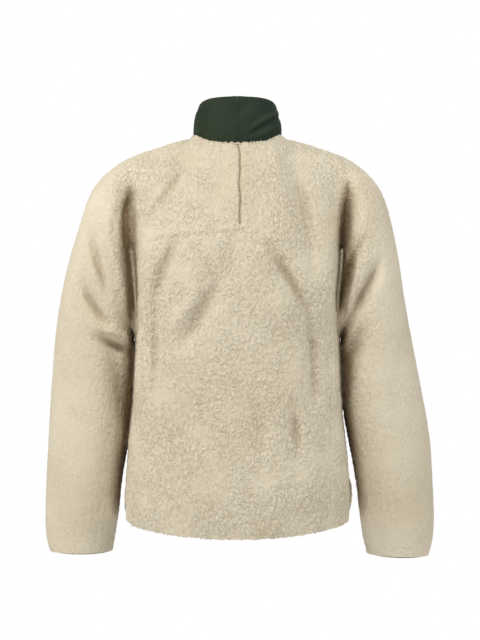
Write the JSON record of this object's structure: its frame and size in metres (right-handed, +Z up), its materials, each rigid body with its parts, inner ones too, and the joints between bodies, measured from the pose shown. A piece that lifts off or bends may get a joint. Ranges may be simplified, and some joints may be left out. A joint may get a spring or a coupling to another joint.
{
  "type": "fleece jacket",
  "caption": "Deep-pile fleece jacket, zipped shut and filled out as if worn, with a woven stand collar, yoke, two-piece sleeves and slanted hand pockets.",
  "frame": {"origin": "middle of the neck opening, level with the collar seam at the centre back, where the wearer's neck and shoulders hold the jacket up", "axes": "+Z up, -Y the way the wearer faces, +X towards the wearer's left"},
  "size_m": [0.7263, 0.2793, 0.8473],
  "materials": {
    "fleece": "curly deep pile, cream",
    "woven": "plain nylon weave, dark green",
    "teeth": "moulded teeth",
    "metal": "dulled nickel"
  },
  "bodies": {
    "jacket": {"back": "fleece", "front_left": "fleece", "front_right": "fleece", "yoke_sleeve_left": "fleece", "yoke_sleeve_right": "fleece", "lower_sleeve_left": "fleece", "lower_sleeve_right": "fleece", "pocket_lip_left": "fleece", "pocket_lip_right": "fleece", "collar_left": "woven", "collar_right": "woven", "hem_binding": "woven", "cuff_binding_left": "woven", "cuff_binding_right": "woven", "pocket_zip_left": "woven", "pocket_zip_right": "woven", "zip_tape_left": "woven", "zip_tape_right": "woven", "zip_chain": "teeth", "zip_bottom_box": "teeth", "zip_slider": "metal", "zip_stop_left": "metal", "zip_stop_right": "metal"},
    "pull_tab": {"zip_pull_tab": "metal"}
  },
  "joints": [
    {"name": "pull_tab_swing", "type": "hinge", "parent": "jacket", "child": "pull_tab", "pos_m": [0, -0.08124, 0.003], "axis": [-1, 0, 0], "range_deg": [0, 150]}
  ]
}
